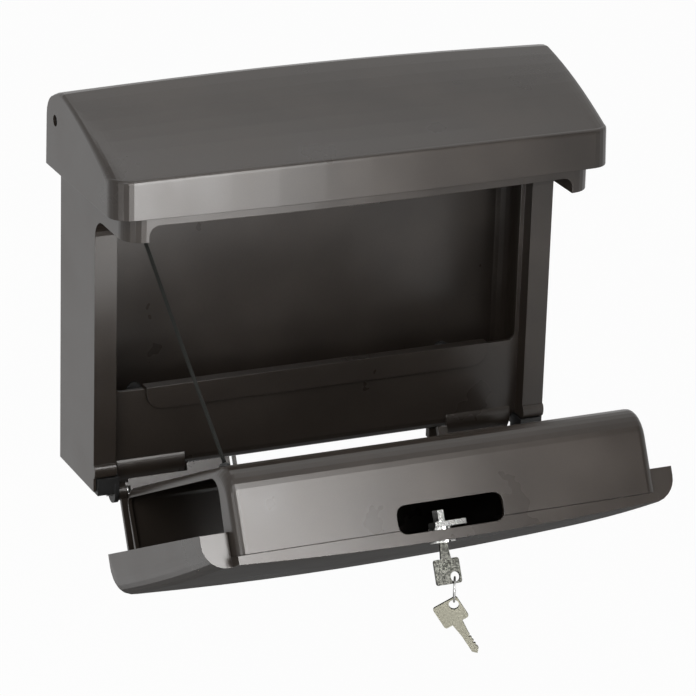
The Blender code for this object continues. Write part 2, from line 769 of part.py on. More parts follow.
def tube_ring(x, inset, end_round):
    """Outline of the newspaper tube at one place along its width."""
    half = tube_half_width - inset
    drop = end_drop(x, half, end_round)
    seam = riser_back - gap if inset == 0 else riser_back + overrun
    face = -tube_face + inset + drop
    low = tube_foot + inset + drop
    top = riser_top - inset - drop
    foot_round = tube_foot_round - inset
    crest_round = tube_crest_round - inset
    points = [(x, -seam, low)]
    for a, b in arc(face + foot_round, low + foot_round, foot_round, 270, 180, 5):
        points.append((x, -a, b))
    for a, b in arc(face + crest_round, top - crest_round, crest_round, 180, 90, 7):
        points.append((x, -a, b))
    points.append((x, -seam, top))
    return points


def even_steps(half, steps):
    return [-half + 2 * half * i / steps for i in range(steps + 1)]


def fixing_places():
    """Where the tube is screwed to the shell: side, and height up the door."""
    low = tube_foot + skin + boss_radius + skin
    high = riser_top - skin - boss_radius - skin
    across = tube_half_width - 2 * tube_screw_inset_x
    return [(side * across, up) for side in (-1, 1) for up in (low, high)]


def make_shell(frame):
    """The door's outer shell: bowed front, side strips, raised middle and hinge plate."""
    def wide(inset):
        half = shell_half - inset
        xs = stations(half, shell_foot_round - inset, shell_foot_round / 4)
        return loft([shell_ring(x, inset) for x in xs])

    shell = make_part("door_shell", wide(0.0), frame, painted, 40.0)
    cut(shell, wide(skin), "shell_hollow")
    reach = tube_half_width + gap
    low = (-reach, -riser_back - overrun, shell_top - skin - overrun)
    cut(shell, box(low, (reach, -shell_side_back + overrun, shell_top + overrun)), "tube_opening")
    join(shell, loft([riser_ring(x, 0.0) for x in even_steps(tube_half_width + 2 * gap, 8)]), "riser")
    cut(shell, loft([riser_ring(x, skin) for x in even_steps(tube_half_width - skin, 8)]), "riser_hollow")
    low = (-plate_half_width, -shell_side_back - skin, 0.0)
    join(shell, box(low, (plate_half_width, plate_back, skin)), "hinge_plate")
    short_outer = lug_inner - skin
    for low_x, high_x, back in ((-leaf_outer, -leaf_inner_left, leaf_back),
                                (-rib_inner - rib_width, -rib_inner, leaf_back),
                                (leaf_inner_right, leaf_outer, leaf_back),
                                (-short_outer, skin / 2 - leaf_outer, leaf_short_back),
                                (leaf_outer - skin / 2, short_outer, leaf_short_back)):
        low = (low_x, plate_back - skin, 0.0)
        join(shell, box(low, (high_x, back, skin)), "hinge_leaf")
    for side in (-1, 1):
        start = (side * lug_inner, 0.0, 0.0)
        join(shell, cylinder(lug_radius, start, side * lug_thickness, "X"), "hinge_lug")
    for x, up in fixing_places():
        start = (x, -riser_back, up)
        length = front_v(up, x) - skin / 2 - riser_back
        join(shell, cylinder(boss_radius, start, -length, "Y", 16), "tube_boss")
        start = (x, -riser_back + overrun, up)
        depth = 2 * boss_radius + overrun
        depth = min(depth, length + overrun - skin / 2)
        cut(shell, cylinder(tube_screw_radius + gap, start, -depth, "Y", 12), "tube_boss_bore")
    for side in (-1, 1):
        start = (side * (lug_inner - overrun), 0.0, 0.0)
        length = lug_thickness + 2 * overrun
        cut(shell, cylinder(hinge_pin_radius + gap, start, side * length, "X", 20), "lug_bore")
        start = (side * (lug_inner - overrun), 0.0, 0.0)
        cut(shell, cylinder(hinge_pin_head + gap, start, side * overrun, "X", 20), "pin_head_room")
    start = (lock_side, -lock_nut_face + overrun, lock_height)
    cut(shell, cylinder(lock_barrel_radius + gap, start, -(skin + 3 * overrun), "Y"), "lock_hole")
    start = (lock_side, -lock_seat, lock_height)
    cut(shell, cylinder(lock_flange_radius + gap, start, -overrun, "Y"), "lock_seat")
    return shell


def window_outline():
    """The window through which the catch is reached, seen along the door."""
    corner = (window_front - window_back) / 3
    return rounded(-window_half_width, -window_front, window_half_width, -window_back, corner)


def make_tube(frame):
    """The inner cover: a box along the door, open at its left end for newspapers."""
    xs = stations(tube_half_width, tube_end_round, tube_end_round / 3)
    rings = [tube_ring(x, 0.0, tube_end_round) for x in xs]
    tube = make_part("newspaper_tube", loft(rings), frame, painted, 40.0)
    inner_round = tube_end_round - skin
    xs = stations(tube_half_width - skin, inner_round, inner_round / 3)
    cut(tube, loft([tube_ring(x, skin, inner_round) for x in xs]), "tube_hollow")
    face = -tube_face + tube_rim
    low = tube_foot + tube_rim
    top = riser_top - skin - tube_rim_crest
    mouth = [(-riser_back - overrun, low + tube_rim / 2)]
    foot = tube_foot_round / 2
    mouth += [(-a, b) for a, b in arc(face + foot, low + foot, foot, 270, 180, 4)]
    crest = tube_mouth_round
    mouth += [(-a, b) for a, b in arc(face + crest, top - crest, crest, 180, 90, 6)]
    mouth += [(-riser_back - overrun, top - tube_rim / 2)]
    start = -tube_half_width - overrun
    cut(tube, prism(mouth, "X", start, start + 3 * overrun), "tube_mouth")
    tab = boss_radius + skin
    for x, up in fixing_places():
        low_up, high_up = sorted((up - tab, up + tab))
        if up < riser_top / 2:
            low_up = tube_foot + skin / 2
        else:
            high_up = riser_top - skin / 2
        low = (x - tab, -riser_back + gap, low_up)
        join(tube, box(low, (x + tab, -riser_back + gap + skin, high_up)), "tube_tab")
        start = (x, -riser_back - overrun, up)
        cut(tube, cylinder(tube_screw_radius + gap, start, 2 * overrun + skin, "Y", 12), "tab_hole")
    return tube


def make_tube_screws(frame):
    """Four screws hold the tube to the shell's bosses."""
    seat = -riser_back + skin + 2 * gap
    for number, (x, up) in enumerate(fixing_places(), 1):
        bm = cylinder(tube_screw_radius, (x, seat + gap, up), -tube_screw_length, "Y", 12)
        screw = make_part("tube_screw_%d" % number, bm, frame, steel)
        join(screw, cylinder(tube_screw_head, (x, seat, up), tube_screw_head_height, "Y", 12), "screw_head")


def hexagon(flats):
    """Corners of a hexagon by its width across flats."""
    return arc(0.0, 0.0, flats / math.sqrt(3), 0, 300, 5)


def make_lock(door, lock):
    """Lock body, gasket and nut stay on the door; plug, cam and cam nut turn."""
    flange_back = lock_seat + gasket_thickness + 2 * gap
    face = flange_back + lock_flange_thickness
    start = (lock_side, -lock_barrel_end, lock_height)
    barrel = cylinder(lock_barrel_radius, start, -(face - lock_barrel_end), "Y")
    body = make_part("lock_body", barrel, door, chrome)
    start = (lock_side, -flange_back, lock_height)
    flange = cylinder(lock_flange_radius, start, -lock_flange_thickness, "Y")
    join(body, flange, "lock_flange")
    start = (lock_side, -lock_barrel_end + overrun, lock_height)
    cut(body, cylinder(plug_radius + gap, start, -(face - lock_barrel_end + 2 * overrun), "Y"), "plug_bore")

    start = (lock_side, -lock_seat - gap, lock_height)
    ring = cylinder(lock_flange_radius - gap, start, -gasket_thickness, "Y")
    gasket = make_part("lock_gasket", ring, door, rubber)
    start = (lock_side, -lock_seat + overrun, lock_height)
    hole = cylinder(lock_barrel_radius + gap, start, -(gasket_thickness + 2 * overrun), "Y")
    cut(gasket, hole, "gasket_hole")

    nut_outline = [(lock_side + a, lock_height + b) for a, b in hexagon(lock_nut_flats)]
    nut_front = -lock_nut_face + gap + belly_slope * lock_nut_flats / 2
    nut = prism(nut_outline, "Y", nut_front, nut_front + lock_nut_thickness)
    nut = make_part("lock_nut", nut, door, steel)
    start = (lock_side, nut_front - overrun, lock_height)
    hole = cylinder(lock_barrel_radius + gap, start, lock_nut_thickness + 2 * overrun, "Y")
    cut(nut, hole, "nut_bore")

    cam_front = lock_barrel_end - gap
    cam_back = cam_front - cam_thickness
    nut_start = cam_back - gap
    nut_end = nut_start - cam_nut_length
    core = cylinder(plug_radius, (0.0, -lock_barrel_end, 0.0), -(face - lock_barrel_end), "Y")
    plug = make_part("lock_plug", core, lock, chrome)
    half = spigot_side / 2
    low = (-half, -lock_barrel_end - gap, -half)
    join(plug, box(low, (half, -cam_back - gap, half)), "spigot")
    join(plug, cylinder(thread_radius, (0.0, -cam_front, 0.0), cam_front - nut_end - gap, "Y", 16), "thread")
    slot_end = face - blade_length - gap
    low = (-blade_half_width - gap, -face - overrun, -key_thickness / 2 - gap)
    high = (blade_half_width + gap, -slot_end, key_thickness / 2 + gap)
    cut(plug, box(low, high), "keyway")

    cam_outline = [(-cam_half_width, -cam_half_width), (cam_reach - cam_slant, -cam_half_width),
                   (cam_reach, -cam_half_width + cam_slant), (cam_reach, cam_half_width),
                   (-cam_half_width, cam_half_width)]
    cam = make_part("lock_cam", prism(cam_outline, "Y", -cam_front, -cam_back), lock, chrome)
    hole = half + gap
    low = (-hole, -cam_front - overrun, -hole)
    cut(cam, box(low, (hole, -cam_back + overrun, hole)), "cam_hole")
    nut_flats = 2 * cam_nut_radius * math.cos(math.radians(30))
    nut = make_part("cam_nut", prism(hexagon(nut_flats), "Y", -nut_start, -nut_end), lock, chrome)
    start = (0.0, -nut_start - overrun, 0.0)
    cut(nut, cylinder(thread_radius + gap, start, cam_nut_length + 2 * overrun, "Y", 16), "cam_nut_bore")
    return face


def make_catch(frame):
    """A catch behind the rail, over which the cam turns to lock the door, and its two screws."""
    front = head_depth + head_bow - skin - bow_at(catch_half_width) - gap
    outline = [(-front, catch_bottom), (-front, catch_top), (-front + catch_depth, catch_top),
               (-front + catch_depth, catch_bottom - catch_drop)]
    block = prism(outline, "X", -catch_half_width, catch_half_width)
    catch = make_part("lock_catch", block, frame, steel)
    seat = -front + catch_depth + gap
    for side, end in ((-1, "left"), (1, "right")):
        x = side * catch_screw_spacing / 2
        start = (x, -front - overrun, catch_screw_height)
        hole = cylinder(catch_screw_radius + gap, start, catch_depth + 2 * overrun, "Y", 12)
        cut(catch, hole, "catch_hole")
        start = (x, seat + gap, catch_screw_height)
        bm = cylinder(catch_screw_radius, start, -catch_depth - gap, "Y", 12)
        screw = make_part("catch_screw_" + end, bm, frame, steel)
        start = (x, seat, catch_screw_height)
        join(screw, cylinder(catch_screw_head, start, catch_screw_head_height, "Y", 12), "screw_head")


def bow_at(x):
    """How far the hood's front has fallen back at x."""
    return head_bow * (x / body_half) ** 2


def key_mesh():
    """A flat key: square bow, neck and a cut blade, in its own plane; the bow lies towards -Y."""
    bow_start = key_neck_length
    bow_end = bow_start + bow_length
    side = bow_half_width
    outline = [(-blade_half_width, 0.0), (-blade_half_width, -blade_length + blade_tip),
               (0.0, -blade_length), (blade_half_width, -blade_length + blade_tip)]
    pitch = (blade_length - blade_tip) / (len(cut_depth_shares) + 1)
    for i, share in enumerate(cut_depth_shares):
        at = -blade_length + blade_tip + pitch * (i + 1)
        outline.append((blade_half_width, at - pitch / 3))
        outline.append((blade_half_width * (1 - share), at))
        outline.append((blade_half_width, at + pitch / 3))
    outline += [(blade_half_width, 0.0), (key_neck_half_width, bow_start)]
    outline += arc(side - bow_corner, bow_start + bow_corner, bow_corner, 270, 360, 3)
    outline += arc(side - bow_corner, bow_end - bow_corner, bow_corner, 0, 90, 3)
    outline += arc(-side + bow_corner, bow_end - bow_corner, bow_corner, 90, 180, 3)
    outline += arc(-side + bow_corner, bow_start + bow_corner, bow_corner, 180, 270, 3)
    outline += [(-key_neck_half_width, bow_start)]
    flat = [(a, -b) for a, b in outline]
    return prism(flat, "Z", -key_thickness / 2, key_thickness / 2)


def make_key(name, frame, spec):
    """A key whose shoulder is at its frame's origin, with the ring's hole in its bow."""
    key = make_part(name, key_mesh(), frame, spec)
    start = (key_hole_side, -hole_along(), -key_thickness)
    cut(key, cylinder(key_hole_radius, start, 2 * key_thickness, "Z", 16), "ring_hole")
    return key


def hole_along():
    """Where the ring's hole is along the key, from its shoulder."""
    return key_neck_length + bow_length / 2 + key_hole_far


def curve_tube(name, points, radius, parent, spec, cyclic=False, resolution=2):
    """A wire or cord through points."""
    curve = bpy.data.curves.new(name, "CURVE")
    curve.dimensions = "3D"
    curve.bevel_depth = radius
    curve.bevel_resolution = resolution
    curve.use_fill_caps = not cyclic
    spline = curve.splines.new("POLY")
    spline.points.add(len(points) - 1)
    for point, place in zip(spline.points, points):
        point.co = (*place, 1.0)
    spline.use_cyclic_u = cyclic
    item = bpy.data.objects.new(name, curve)
    item.parent = parent
    curve.materials.append(look(spec))
    parts.objects.link(item)
    return item


def make_keys(lock, face):
    """The key in the lock, the ring through its bow, and the spare key that hangs from the ring."""
    shoulder = face + key_stand_off
    key_frame = make_empty("key_frame", (0.0, -shoulder, 0.0), lock)
    make_key("key", key_frame, chrome)

    upright = math.radians(-door_angle_deg)
    hole = (key_hole_side, -hole_along(), 0.0)
    ring_frame = make_empty("ring_frame", hole, key_frame, (upright, 0.0, 0.0))
    turn = math.radians(ring_turn_deg)
    along = Vector((math.sin(turn), math.cos(turn), 0.0))
    centre = Vector((0.0, 0.0, -ring_hang - ring_radius))
    count = 40
    points = []
    for i in range(count):
        angle = 2 * math.pi * i / count
        spoke = math.sin(angle) * along + math.cos(angle) * Vector((0, 0, 1))
        points.append(centre + ring_radius * spoke)
    curve_tube("key_ring", points, ring_wire_radius, ring_frame, steel, True, 1)

    hang = (0.0, 0.0, -ring_hang - 2 * ring_radius - spare_hang)
    spare_frame = make_empty("spare_frame", hang, ring_frame)
    spare_turn = make_empty("spare_turn", (0.0, 0.0, 0.0), spare_frame)
    across = Vector((math.cos(turn), -math.sin(turn), 0.0))
    tilt = math.radians(spare_tilt_deg)
    tip = across * math.sin(tilt) - Vector((0, 0, 1)) * math.cos(tilt)
    side = tip.cross(along)
    turn_matrix = Matrix((side, tip, side.cross(tip))).transposed()
    hole = turn_matrix @ Vector((key_hole_side, -hole_along(), 0.0))
    spare_turn.matrix_local = Matrix.Translation(-hole) @ turn_matrix.to_4x4()
    make_key("spare_key", spare_turn, nickel)


def make_cord(frame, door):
    """The stay cord runs from an eye in the hood to a button on the tube and stops the door."""
    angle = math.radians(door_angle_deg)
    stand = -tube_face - button_height - gap - cord_radius / 2
    low = Vector((-cord_low_x,
                  -hinge_setback - cord_low_up * math.sin(angle) - stand * math.cos(angle),
                  -hinge_drop + cord_low_up * math.cos(angle) - stand * math.sin(angle)))
    eye_middle = Vector((-cord_top_x, -cord_top_setback, cord_top_height))
    top = eye_middle + (low - eye_middle).normalized() * (eye_radius + 2 * gap)
    sag = Vector((0.0, cord_sag, 0.0))
    points = []
    for i in range(cord_points):
        t = i / (cord_points - 1)
        points.append(top.lerp(low, t) + sag * math.sin(math.pi * t) * (1 - t))
    curve_tube("door_cord", points, cord_radius, frame, cord_black)

    start = (-cord_low_x, tube_face + gap, cord_low_up)
    button = cylinder(button_radius, start, button_height, "Y", 20, button_radius * button_taper_share)
    make_part("cord_button", button, door, black)

    eye = arc(-cord_top_setback, cord_top_height, eye_radius, 180, 360, 8)
    eye += [(-cord_top_setback + eye_back, cord_top_height + eye_back),
            (-cord_top_setback - eye_radius, cord_top_height + eye_back)]
    outer = -flange_inner + gap
    make_part("cord_eye", prism(eye, "X", outer, outer + eye_thickness), frame, black)


def make_hole_plugs(frame):
    """Rubber plugs in the wall holes, flush with the back."""
    for side_x, across in ((-1, "left"), (1, "right")):
        for side_z, level in ((-1, "lower"), (1, "upper")):
            x = side_x * hole_spacing_x / 2
            z = origin_height + side_z * hole_spacing_z / 2
            length = wall + gap
            name = "hole_plug_" + level + "_" + across
            stem = cylinder(hole_radius - gap, (x, -gap, z), -length, "Y", 16)
            plug = make_part(name, stem, frame, rubber)
            head = cylinder(plug_head_radius, (x, -wall - gap, z), -plug_head_height, "Y", 16)
            join(plug, head, "plug_head")


def main():
    frame = make_empty("mailbox_frame", (0.0, 0.0, -origin_height))
    pivot = Vector((0.0, -pivot_setback, pivot_height))
    lid_frame = make_empty("lid_frame", pivot, frame)
    door_turn = (math.radians(door_angle_deg), 0.0, 0.0)
    door = make_empty("door_frame", (0.0, -hinge_setback, -hinge_drop), frame, door_turn)
    lock = make_empty("lock_frame", (lock_side, 0.0, lock_height), door)

    make_housing(frame)
    make_lid(lid_frame, -pivot)
    make_lid_pins(frame)
    make_bumpers(frame)
    make_guard(frame)
    make_chute(frame)
    make_bearings(frame)
    shell = make_shell(door)
    tube = make_tube(door)
    slot = prism(window_outline(), "Z", riser_top - 3 * skin, riser_top + overrun)
    cut(shell, slot.copy(), "window_in_shell")
    cut(tube, slot, "window_in_tube")
    make_tube_screws(door)
    face = make_lock(door, lock)
    make_catch(frame)
    make_keys(lock, face)
    make_cord(frame, door)
    make_hole_plugs(frame)
    bpy.context.view_layer.update()


main()
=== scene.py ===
"""Looks of the wall mailbox: satin brown shells, a braided stay cord, cam lock and keys.

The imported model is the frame. Every piece here stands on it, in metres, with X to the right,
the front towards -Y and Z up.
"""
import math

import bmesh
import bpy
from mathutils import Matrix, Vector


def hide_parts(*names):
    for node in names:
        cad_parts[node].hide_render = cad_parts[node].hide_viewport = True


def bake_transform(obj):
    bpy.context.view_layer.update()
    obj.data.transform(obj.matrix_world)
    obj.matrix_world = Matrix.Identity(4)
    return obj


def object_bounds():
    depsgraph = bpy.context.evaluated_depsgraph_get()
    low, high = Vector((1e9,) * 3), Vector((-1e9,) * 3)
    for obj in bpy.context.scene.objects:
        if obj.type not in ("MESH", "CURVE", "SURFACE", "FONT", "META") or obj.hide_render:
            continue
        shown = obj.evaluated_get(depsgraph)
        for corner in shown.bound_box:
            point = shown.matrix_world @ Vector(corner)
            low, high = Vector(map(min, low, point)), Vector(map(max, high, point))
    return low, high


bl_info = {
    "name": "Wall mailbox looks",
    "version": (1, 0, 0),
    "blender": (4, 5, 0),
    "location": "View3D > Sidebar > Mailbox",
    "description": "Finishes, soft edges, stay cord and studio for the wall mailbox",
    "category": "Object",
}

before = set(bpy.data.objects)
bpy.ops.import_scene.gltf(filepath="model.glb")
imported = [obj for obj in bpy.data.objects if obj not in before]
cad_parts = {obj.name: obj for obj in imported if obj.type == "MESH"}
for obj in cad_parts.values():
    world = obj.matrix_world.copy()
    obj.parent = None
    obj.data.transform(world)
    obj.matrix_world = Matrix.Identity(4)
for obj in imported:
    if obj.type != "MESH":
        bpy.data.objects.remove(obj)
cad_low, cad_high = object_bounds()


# Properties

class MailboxSizes(bpy.types.PropertyGroup):
    """Sizes of the detail that this script adds."""

    grain_size: bpy.props.FloatProperty(
        name="Grain size", description="Width of the moulded plastic's grain",
        default=0.0006, unit="LENGTH", precision=5)
    edge_radius: bpy.props.FloatProperty(
        name="Edge radius", description="Round on the edges of the moulded pieces",
        default=0.0005, unit="LENGTH", precision=5)
    cord_diameter: bpy.props.FloatProperty(
        name="Cord diameter", description="Width of the stay cord",
        default=0.0028, unit="LENGTH", precision=4)


class MailboxColours(bpy.types.PropertyGroup):
    """Colours of the finishes."""

    plastic: bpy.props.FloatVectorProperty(
        name="Plastic", description="Brown satin plastic of the shells", subtype="COLOR",
        size=3, min=0.0, max=1.0, default=(0.031, 0.024, 0.019))
    black: bpy.props.FloatVectorProperty(
        name="Black", description="Bearings, lid pins, cord ends and rubber pieces", subtype="COLOR",
        size=3, min=0.0, max=1.0, default=(0.005, 0.005, 0.005))
    cord: bpy.props.FloatVectorProperty(
        name="Cord", description="Braid of the stay cord", subtype="COLOR",
        size=3, min=0.0, max=1.0, default=(0.006, 0.0064, 0.0056))
    chrome: bpy.props.FloatVectorProperty(
        name="Chrome", description="Lock body, plug and cam", subtype="COLOR",
        size=3, min=0.0, max=1.0, default=(0.60, 0.60, 0.58))
    worn: bpy.props.FloatVectorProperty(
        name="Worn chrome", description="Key in the lock", subtype="COLOR",
        size=3, min=0.0, max=1.0, default=(0.13, 0.13, 0.115))
    nickel: bpy.props.FloatVectorProperty(
        name="Nickel silver", description="Spare key", subtype="COLOR",
        size=3, min=0.0, max=1.0, default=(0.29, 0.28, 0.225))
    steel: bpy.props.FloatVectorProperty(
        name="Zinc steel", description="Screws, hinge pins, nut, catch and key ring", subtype="COLOR",
        size=3, min=0.0, max=1.0, default=(0.48, 0.48, 0.47))


class StudioSettings(bpy.types.PropertyGroup):
    """Light and floor of the studio."""

    floor_drop: bpy.props.FloatProperty(
        name="Floor drop", description="Floor below the object's lowest point",
        default=0.16, unit="LENGTH")
    fill: bpy.props.FloatProperty(
        name="Fill", description="Strength of the even light from all round", default=0.36, min=0.0)
    key: bpy.props.FloatProperty(
        name="Key", description="Power of the large left lamp", default=5.0, min=0.0, unit="POWER")
    top: bpy.props.FloatProperty(
        name="Top", description="Power of the lamp overhead", default=5.0, min=0.0, unit="POWER")
    front: bpy.props.FloatProperty(
        name="Front", description="Strength of the tall softbox before the object",
        default=22.5, min=0.0)
    strip: bpy.props.FloatProperty(
        name="Strip", description="Strength of the narrow softbox at the left", default=14.0, min=0.0)


# Node helpers

def node_group(name, inputs, outputs):
    """An empty shader group with named values and their sockets, and its input and output nodes."""
    group = bpy.data.node_groups.new(name, "ShaderNodeTree")
    for label, kind, value in inputs:
        socket = group.interface.new_socket(name=label, in_out="INPUT", socket_type=kind)
        if value is not None:
            socket.default_value = value
    for label, kind in outputs:
        group.interface.new_socket(name=label, in_out="OUTPUT", socket_type=kind)
    return group, group.nodes.new("NodeGroupInput"), group.nodes.new("NodeGroupOutput")


def place_group(tree, group, vector, **values):
    """A group's node in a material, with its own values."""
    node = tree.nodes.new("ShaderNodeGroup")
    node.node_tree = group
    tree.links.new(vector, node.inputs["Vector"])
    for label, value in values.items():
        node.inputs[label].default_value = value
    return node


def add_noise(tree, vector, scale, detail, roughness):
    noise = tree.nodes.new("ShaderNodeTexNoise")
    noise.inputs["Scale"].default_value = scale
    noise.inputs["Detail"].default_value = detail
    noise.inputs["Roughness"].default_value = roughness
    tree.links.new(vector, noise.inputs["Vector"])
    return noise.outputs["Fac"]


def add_ramp(tree, value, low, high, to_low=0.0, to_high=1.0):
    ramp = tree.nodes.new("ShaderNodeMapRange")
    ramp.inputs["From Min"].default_value = low
    ramp.inputs["From Max"].default_value = high
    ramp.inputs["To Min"].default_value = to_low
    ramp.inputs["To Max"].default_value = to_high
    tree.links.new(value, ramp.inputs["Value"])
    return ramp.outputs["Result"]


def add_math(tree, operation, first, second):
    node = tree.nodes.new("ShaderNodeMath")
    node.operation = operation
    for socket, value in zip(node.inputs, (first, second)):
        if isinstance(value, (int, float)):
            socket.default_value = value
        else:
            tree.links.new(value, socket)
    return node.outputs["Value"]


def add_mix(tree, factor, first, second):
    """A mix of two colours, each a socket or three values."""
    node = tree.nodes.new("ShaderNodeMix")
    node.data_type = "RGBA"
    tree.links.new(factor, node.inputs["Factor"])
    for socket, value in ((node.inputs["A"], first), (node.inputs["B"], second)):
        if isinstance(value, bpy.types.NodeSocket):
            tree.links.new(value, socket)
        else:
            socket.default_value = (*value, 1.0)
    return node.outputs["Result"]


def add_bump(tree, shader, height, distance):
    bump = tree.nodes.new("ShaderNodeBump")
    bump.inputs["Strength"].default_value = 1.0
    bump.inputs["Distance"].default_value = distance
    tree.links.new(height, bump.inputs["Height"])
    tree.links.new(bump.outputs["Normal"], shader.inputs["Normal"])
    return bump


def soft_edge(tree, bump, radius):
    """Rounds the light on edges that are sharp in the mesh."""
    edge = tree.nodes.new("ShaderNodeBevel")
    edge.samples = EDGE_SAMPLES
    edge.inputs["Radius"].default_value = radius
    tree.links.new(edge.outputs["Normal"], bump.inputs["Normal"])


def new_finish(name):
    """A material with its shader, ready to dress, and its object coordinates."""
    material = bpy.data.materials.new(name)
    material.use_nodes = True
    tree = material.node_tree
    shader = tree.nodes["Principled BSDF"]
    place = tree.nodes.new("ShaderNodeTexCoord")
    return material, tree, shader, place.outputs["Object"]


def tint(colour, gain):
    return tuple(min(1.0, c * gain) for c in colour)


# Grain and wear that the finishes share. A noise is its scale, detail and roughness.

GRAIN_NOISE = (1.0, 3.0, 0.6)
GRAIN_CELL_SCALE = 0.8
GRAIN_CELL_SHARE = 0.5
SPECKLE_RANGE = (0.35, 0.65)
BLOTCH_NOISE = (14.0, 4.0, 0.55)
BLOTCH_RANGE = (0.3, 0.7)
STREAK_STRETCH = (70.0, 1500.0, 1500.0)
STREAK_TURN = (0.2, 0.3, 0.5)
STREAK_NOISE = (1.0, 2.0, 0.6)
STREAK_RANGE = (0.66, 0.74)
RUBBED_NOISE = (9.0, 2.0, 0.5)
RUBBED_RANGE = (0.5, 0.7)
DUST_NOISE = (60.0, 5.0, 0.7)
DUST_RANGE = (0.45, 0.8)


def grain_group():
    """Fine grain of a moulded or cast surface, with slow blotches: height and two masks."""
    if "Grain" in bpy.data.node_groups:
        return bpy.data.node_groups["Grain"]
    group, given, result = node_group(
        "Grain",
        [("Vector", "NodeSocketVector", None), ("Scale", "NodeSocketFloat", 1500.0)],
        [("Height", "NodeSocketFloat"), ("Speckle", "NodeSocketFloat"), ("Blotch", "NodeSocketFloat")])
    scaled = group.nodes.new("ShaderNodeVectorMath")
    scaled.operation = "SCALE"
    group.links.new(given.outputs["Vector"], scaled.inputs[0])
    group.links.new(given.outputs["Scale"], scaled.inputs["Scale"])
    fine = add_noise(group, scaled.outputs["Vector"], *GRAIN_NOISE)
    cells = group.nodes.new("ShaderNodeTexVoronoi")
    cells.inputs["Scale"].default_value = GRAIN_CELL_SCALE
    group.links.new(scaled.outputs["Vector"], cells.inputs["Vector"])
    pebbles = add_math(group, "MULTIPLY", cells.outputs["Distance"], GRAIN_CELL_SHARE)
    group.links.new(add_math(group, "ADD", fine, pebbles), result.inputs["Height"])
    group.links.new(add_ramp(group, fine, *SPECKLE_RANGE), result.inputs["Speckle"])
    blotch = add_noise(group, given.outputs["Vector"], *BLOTCH_NOISE)
    group.links.new(add_ramp(group, blotch, *BLOTCH_RANGE), result.inputs["Blotch"])
    return group


def wear_group():
    """Faint rub marks and dust: a mask of fine scratches and a mask of settled dust."""
    if "Wear" in bpy.data.node_groups:
        return bpy.data.node_groups["Wear"]
    group, given, result = node_group(
        "Wear",
        [("Vector", "NodeSocketVector", None), ("Amount", "NodeSocketFloat", 0.3)],
        [("Scratches", "NodeSocketFloat"), ("Dust", "NodeSocketFloat")])
    stretch = group.nodes.new("ShaderNodeMapping")
    stretch.inputs["Scale"].default_value = STREAK_STRETCH
    stretch.inputs["Rotation"].default_value = STREAK_TURN
    group.links.new(given.outputs["Vector"], stretch.inputs["Vector"])
    streaks = add_noise(group, stretch.outputs["Vector"], *STREAK_NOISE)
    lines = add_ramp(group, streaks, *STREAK_RANGE)
    rubbed = add_ramp(group, add_noise(group, given.outputs["Vector"], *RUBBED_NOISE), *RUBBED_RANGE)
    scratches = add_math(group, "MULTIPLY", lines, rubbed)
    group.links.new(add_math(group, "MULTIPLY", scratches, given.outputs["Amount"]),
                    result.inputs["Scratches"])
    dust = add_ramp(group, add_noise(group, given.outputs["Vector"], *DUST_NOISE), *DUST_RANGE)
    group.links.new(add_math(group, "MULTIPLY", dust, given.outputs["Amount"]), result.inputs["Dust"])
    return group


# Satin plastic

EDGE_SAMPLES = 6
SHELL_ROUGHNESS = 0.30
BLACK_ROUGHNESS = 0.5
BLACK_GRAIN = 0.0005
BLACK_EDGE = 0.0004
PLASTIC_BUMP = 0.00002
PLASTIC_SPECULAR = 0.38
PLASTIC_WEAR = 0.08
DARK_BLOTCH_GAIN = 0.84
LIGHT_BLOTCH_GAIN = 1.22
SPECKLE_GAIN = 2.6
SPECKLE_SHARE = 0.14
RUBBED_GAIN = 2.2
RUBBED_DULLING = 0.08
DUST_GAIN = 3.0
DUST_SHARE = 0.10
SMOOTHEST = -0.04           # roughness of the dark blotches, beside the finish's own
DULLEST = 0.05              # and of the light ones


def satin_plastic(name, colour, roughness, grain, edge_radius):
    """Moulded plastic with a fine grain, slow colour change, rub marks and a little dust."""
    material, tree, shader, place = new_finish(name)
    grains = place_group(tree, grain_group(), place, Scale=1.0 / grain)
    wear = place_group(tree, wear_group(), place, Amount=PLASTIC_WEAR)
    blotch = grains.outputs["Blotch"]
    scratches = wear.outputs["Scratches"]
    base = add_mix(tree, blotch, tint(colour, DARK_BLOTCH_GAIN), tint(colour, LIGHT_BLOTCH_GAIN))
    speckles = add_math(tree, "MULTIPLY", grains.outputs["Speckle"], SPECKLE_SHARE)
    speckled = add_mix(tree, speckles, base, tint(colour, SPECKLE_GAIN))
    rubbed = add_mix(tree, scratches, speckled, tint(colour, RUBBED_GAIN))
    dust = add_math(tree, "MULTIPLY", wear.outputs["Dust"], DUST_SHARE)
    tree.links.new(add_mix(tree, dust, rubbed, tint(colour, DUST_GAIN)), shader.inputs["Base Color"])
    rough = add_ramp(tree, blotch, 0.0, 1.0, roughness + SMOOTHEST, roughness + DULLEST)
    dulled = add_math(tree, "MULTIPLY", scratches, RUBBED_DULLING)
    tree.links.new(add_math(tree, "ADD", rough, dulled), shader.inputs["Roughness"])
    shader.inputs["Specular IOR Level"].default_value = PLASTIC_SPECULAR
    soft_edge(tree, add_bump(tree, shader, grains.outputs["Height"], PLASTIC_BUMP), edge_radius)
    return material


# Plated metal. Each kind is its colour's name, its roughness and how dark its tarnish is.

